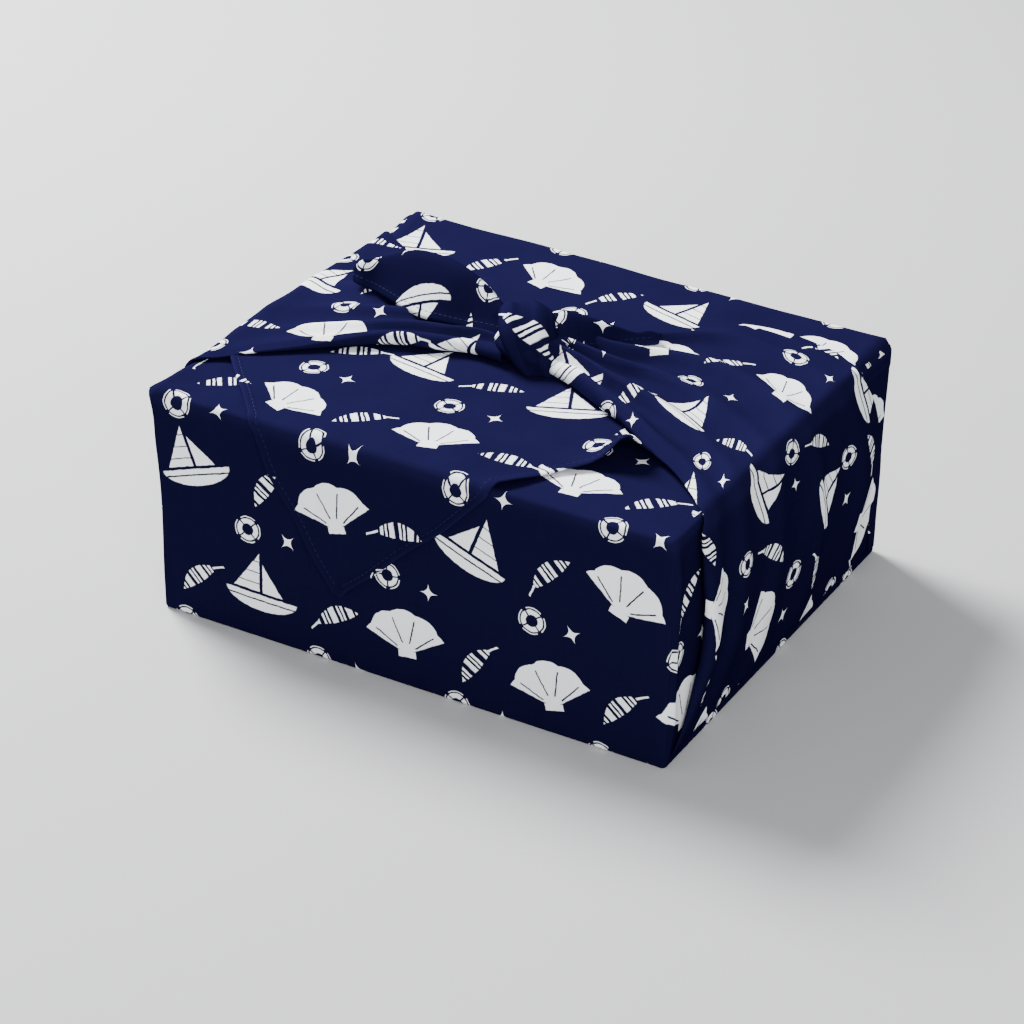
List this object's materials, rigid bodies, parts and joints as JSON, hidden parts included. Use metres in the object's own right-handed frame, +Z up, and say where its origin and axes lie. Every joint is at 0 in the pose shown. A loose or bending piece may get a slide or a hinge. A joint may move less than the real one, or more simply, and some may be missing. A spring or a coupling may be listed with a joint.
{
  "type": "furoshiki wrap tied round a gift box",
  "caption": "Low rectangular box wrapped in one square patterned cotton cloth, corners folded over the top and tied there in a square knot with two free leaf-shaped ends",
  "frame": {"origin": "middle of the base, on the surface that the wrapped box stands on", "axes": "+X along the long side to the right, +Y to the back, +Z up; the flap's tip hangs down the front, on -Y"},
  "size_m": [0.288, 0.2391, 0.157],
  "materials": {
    "printed_cotton": "matt navy plain-weave cotton with an off-white sea print",
    "plain_board": "matt uncoated grey-brown board"
  },
  "bodies": {
    "root": {"furoshiki": "printed_cotton", "gift_box": "plain_board"}
  },
  "joints": []
}
